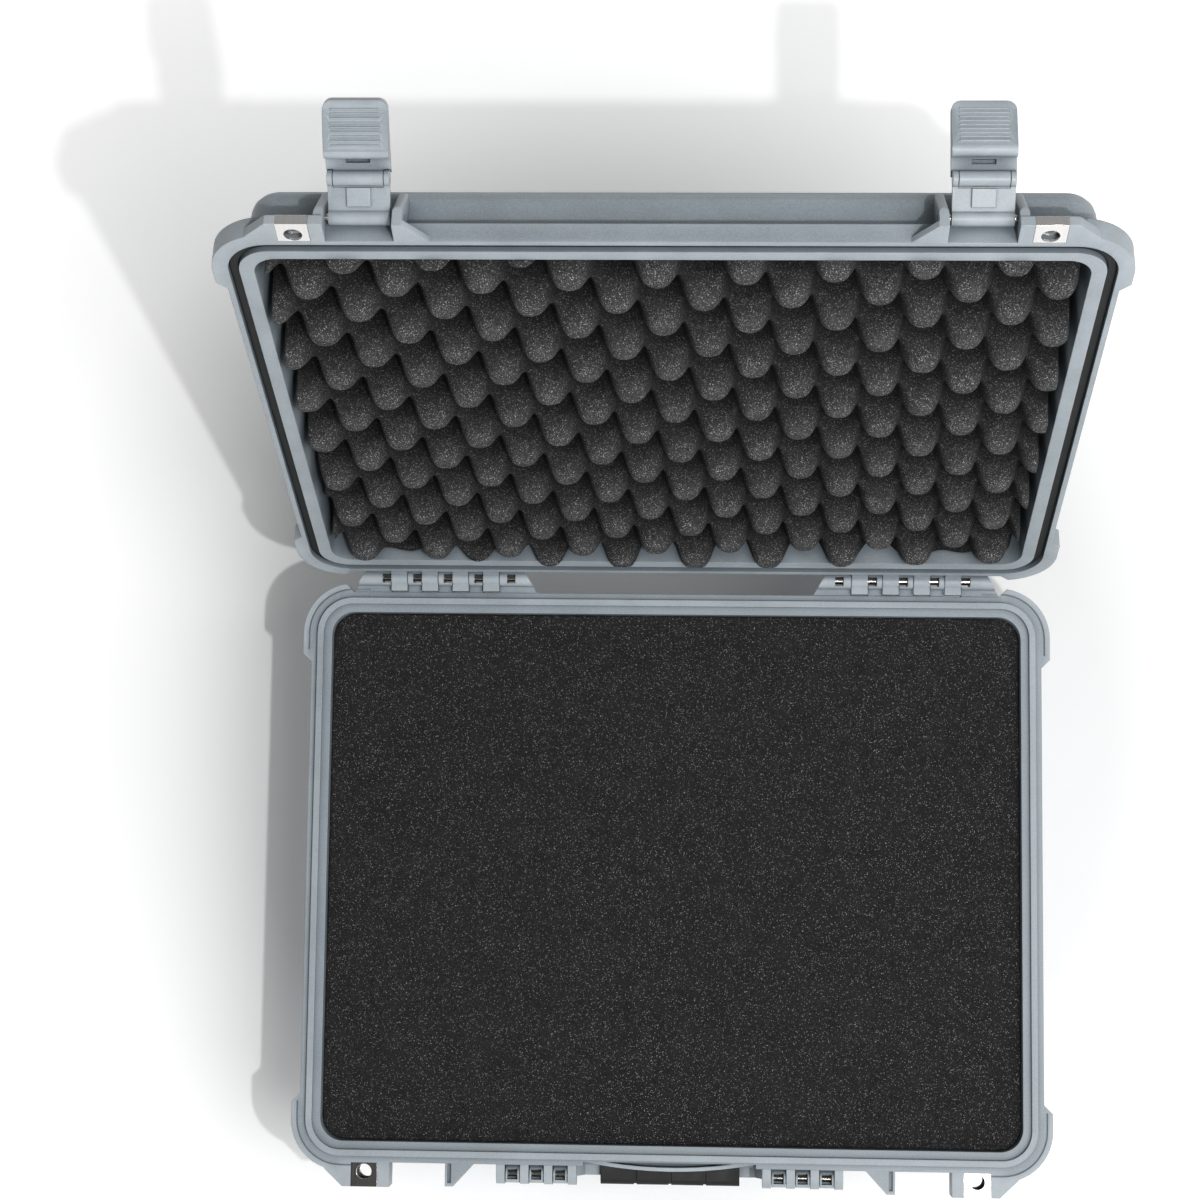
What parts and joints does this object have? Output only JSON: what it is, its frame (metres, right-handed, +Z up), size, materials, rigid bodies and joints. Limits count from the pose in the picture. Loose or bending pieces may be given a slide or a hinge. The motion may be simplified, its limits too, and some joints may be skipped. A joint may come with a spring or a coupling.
{
  "type": "protective case",
  "caption": "Moulded protective equipment case with a hinged lid, foam-filled base, egg-crate foam in the lid, folding latches, steel padlock plates and a folding handle.",
  "frame": {"origin": "centre of the base's flat underside", "axes": "+X to the right seen from the handle side, +Y towards the hinges, +Z up"},
  "size_m": [0.5254, 0.6483, 0.5753],
  "materials": {
    "shell": "fine moulded texture",
    "latch": "satin",
    "steel": "brushed",
    "foam": "open-cell foam",
    "seal": "matt",
    "grip": "matt",
    "valve": "satin"
  },
  "bodies": {
    "base": {"base_shell": "shell", "base_foam_upper": "foam", "base_foam_lower": "foam", "base_foam_pad": "foam", "base_padlock_plate_left": "steel", "base_padlock_plate_right": "steel", "hinge_pin_left": "steel", "hinge_pin_right": "steel", "handle_pin_left": "steel", "handle_pin_right": "steel", "valve_body": "valve", "valve_gasket": "seal", "valve_nut": "valve"},
    "handle": {"handle_frame": "shell", "handle_grip": "grip"},
    "lid": {"lid_shell": "shell", "lid_seal": "seal", "lid_foam": "foam", "lid_padlock_plate_left": "steel", "lid_padlock_plate_right": "steel", "latch_pivot_pin_left": "steel", "latch_pivot_pin_right": "steel"},
    "latch_link_left": {"latch_link_left": "latch", "latch_lever_pin_left": "steel"},
    "latch_lever_left": {"latch_lever_left": "latch"},
    "latch_link_right": {"latch_link_right": "latch", "latch_lever_pin_right": "steel"},
    "latch_lever_right": {"latch_lever_right": "latch"}
  },
  "joints": [
    {"name": "lid_hinge", "type": "hinge", "parent": "base", "child": "lid", "pos_m": [0, 0.20884, 0.16088], "axis": [-1, 0, 0], "range_deg": [-110.9, 0]},
    {"name": "handle_hinge", "type": "hinge", "parent": "base", "child": "handle", "pos_m": [0, -0.205, 0.1525], "axis": [-1, 0, 0], "range_deg": [0, 95]},
    {"name": "latch_link_left_hinge", "type": "hinge", "parent": "lid", "child": "latch_link_left", "pos_m": [-0.1742, 0.36734, 0.54227], "axis": [-1, 0, 0], "range_deg": [-136.8, 0]},
    {"name": "latch_lever_left_hinge", "type": "hinge", "parent": "latch_link_left", "child": "latch_lever_left", "pos_m": [-0.1742, 0.38758, 0.5509], "axis": [-1, 0, 0], "range_deg": [-0.6, 55]},
    {"name": "latch_link_right_hinge", "type": "hinge", "parent": "lid", "child": "latch_link_right", "pos_m": [0.1742, 0.36734, 0.54227], "axis": [-1, 0, 0], "range_deg": [-136.8, 0]},
    {"name": "latch_lever_right_hinge", "type": "hinge", "parent": "latch_link_right", "child": "latch_lever_right", "pos_m": [0.1742, 0.38758, 0.5509], "axis": [-1, 0, 0], "range_deg": [-33.1, 22]}
  ]
}
